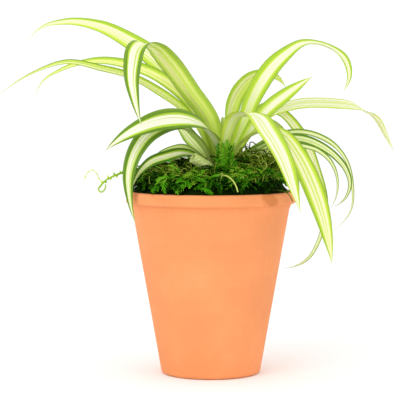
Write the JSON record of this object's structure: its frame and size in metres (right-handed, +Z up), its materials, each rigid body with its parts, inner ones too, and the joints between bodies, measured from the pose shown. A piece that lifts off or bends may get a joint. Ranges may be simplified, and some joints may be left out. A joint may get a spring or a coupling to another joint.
{
  "type": "potted spider plant",
  "caption": "Spider plant with arching striped leaves in a plain tapered terracotta pot topped with moss.",
  "frame": {"origin": "centre of the pot's base, on the surface that the pot stands on", "axes": "+Z up along the pot's axis; +X along the widest spread of the leaves; -Y towards the side that the two broad drooping leaves lean to"},
  "size_m": [0.2855, 0.2185, 0.2541],
  "materials": {
    "terracotta": "matte",
    "potting_soil": "matte",
    "moss": "matte",
    "pale_stem": "satin",
    "leaf": "satin"
  },
  "bodies": {
    "root": {"pot": "terracotta", "soil": "potting_soil", "moss_bed": "moss", "moss_sprig": "moss", "moss_tendril": "moss", "crown": "pale_stem", "cut_leaf_stub": "pale_stem", "seedling_stalk": "pale_stem", "leaf_top_left": "leaf", "leaf_folded": "leaf", "leaf_far_left": "leaf", "leaf_mid_left": "leaf", "leaf_striped_left": "leaf", "leaf_rim_left": "leaf", "leaf_low_left": "leaf", "leaf_low_left_behind": "leaf", "leaf_pale_left": "leaf", "leaf_centre_arch": "leaf", "leaf_top_right": "leaf", "leaf_pointed": "leaf", "leaf_pale_right": "leaf", "leaf_back_right": "leaf", "leaf_front_arch": "leaf", "leaf_front_drop": "leaf", "leaf_outer_right": "leaf", "leaf_middle_right": "leaf", "leaf_inner_right": "leaf", "leaf_rear_centre": "leaf", "leaf_rear_middle": "leaf", "leaf_rear_left": "leaf", "leaf_rear_low_right": "leaf", "leaf_rear_right": "leaf"}
  },
  "joints": []
}
